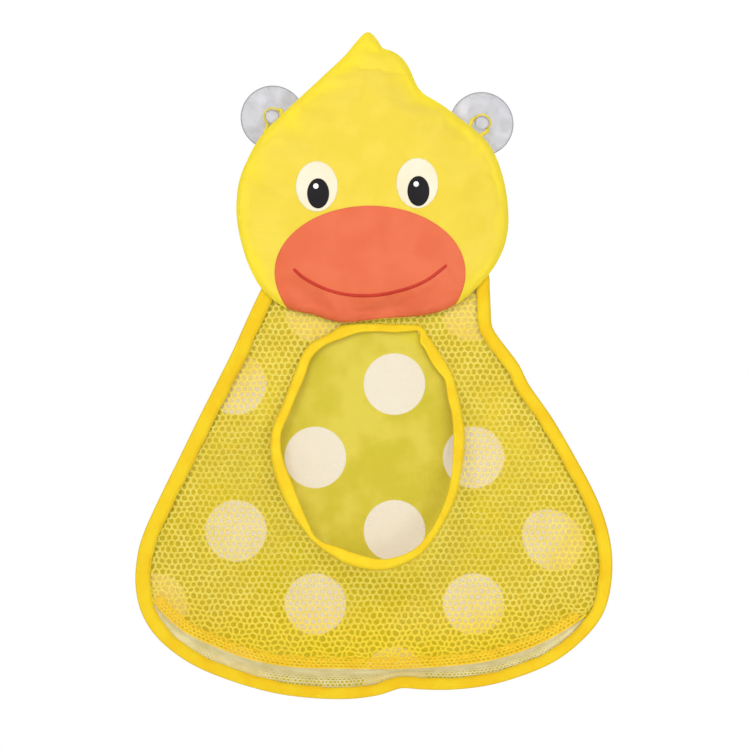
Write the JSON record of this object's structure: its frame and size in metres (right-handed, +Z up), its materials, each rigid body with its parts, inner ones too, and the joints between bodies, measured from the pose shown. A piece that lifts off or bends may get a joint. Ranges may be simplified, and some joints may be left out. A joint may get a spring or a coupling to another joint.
{
  "type": "bath toy organizer",
  "caption": "Duck-shaped bath toy pouch: a padded head over a dotted back panel and bulging net with an oval mouth, hung on a wall by corded suction cups.",
  "frame": {"origin": "on the wall plane between the two suction cups", "axes": "+X to the right seen from the front, +Y into the wall, +Z up"},
  "size_m": [0.3337, 0.0536, 0.4666],
  "materials": {
    "head_cloth": "fine woven cloth",
    "wadding": "soft wadding",
    "bill_film": "matt pressed film",
    "smile_film": "matt pressed film",
    "eye_white_film": "matt pressed film",
    "pupil_film": "matt pressed film",
    "glint_film": "matt pressed film",
    "dotted_cloth": "woven cloth with printed dots",
    "net": "knitted net",
    "drain_net": "fine knitted net",
    "binding_tape": "folded woven tape",
    "cord": "twisted cord",
    "clear_vinyl": "clear soft PVC"
  },
  "bodies": {
    "head": {"head_front_cover": "head_cloth", "head_back_cover": "head_cloth", "head_padding": "wadding", "bill": "bill_film", "smile_line": "smile_film", "eye_white_left": "eye_white_film", "eye_white_right": "eye_white_film", "pupil_left": "pupil_film", "pupil_right": "pupil_film", "eye_glint_left": "glint_film", "eye_glint_right": "glint_film"},
    "pouch": {"back_panel": "dotted_cloth", "front_net": "net", "drain_net": "drain_net", "edge_binding": "binding_tape"},
    "mouth": {"mouth_binding": "binding_tape"},
    "loop_left": {"hanging_loop_left": "cord"},
    "loop_right": {"hanging_loop_right": "cord"},
    "cup_left": {"suction_cup_left": "clear_vinyl"},
    "cup_right": {"suction_cup_right": "clear_vinyl"}
  },
  "joints": [
    {"name": "neck_fold", "type": "hinge", "parent": "head", "child": "pouch", "pos_m": [0, -0.0117, -0.09817], "axis": [1, 0, 0], "range_deg": [0, 150]},
    {"name": "pouch_flatten", "type": "hinge", "parent": "pouch", "child": "mouth", "pos_m": [0, -0.0158, -0.14227], "axis": [1, 0, 0], "range_deg": [0, 5], "deforming": ["front_net", "drain_net"]},
    {"name": "loop_left_swing", "type": "hinge", "parent": "head", "child": "loop_left", "pos_m": [-0.06886, -0.01875, 0.001], "axis": [0.7026, 0, 0.7116], "range_deg": [-20, 90]},
    {"name": "loop_right_swing", "type": "hinge", "parent": "head", "child": "loop_right", "pos_m": [0.07234, -0.01875, -0.00628], "axis": [0.7635, 0, -0.6458], "range_deg": [-20, 90]},
    {"name": "cup_left_turn", "type": "hinge", "parent": "loop_left", "child": "cup_left", "pos_m": [-0.07088, -0.0104, 0.00286], "axis": [0, 1, 0], "continuous": true},
    {"name": "cup_right_turn", "type": "hinge", "parent": "loop_right", "child": "cup_right", "pos_m": [0.07598, -0.0104, -0.00169], "axis": [0, 1, 0], "continuous": true}
  ]
}
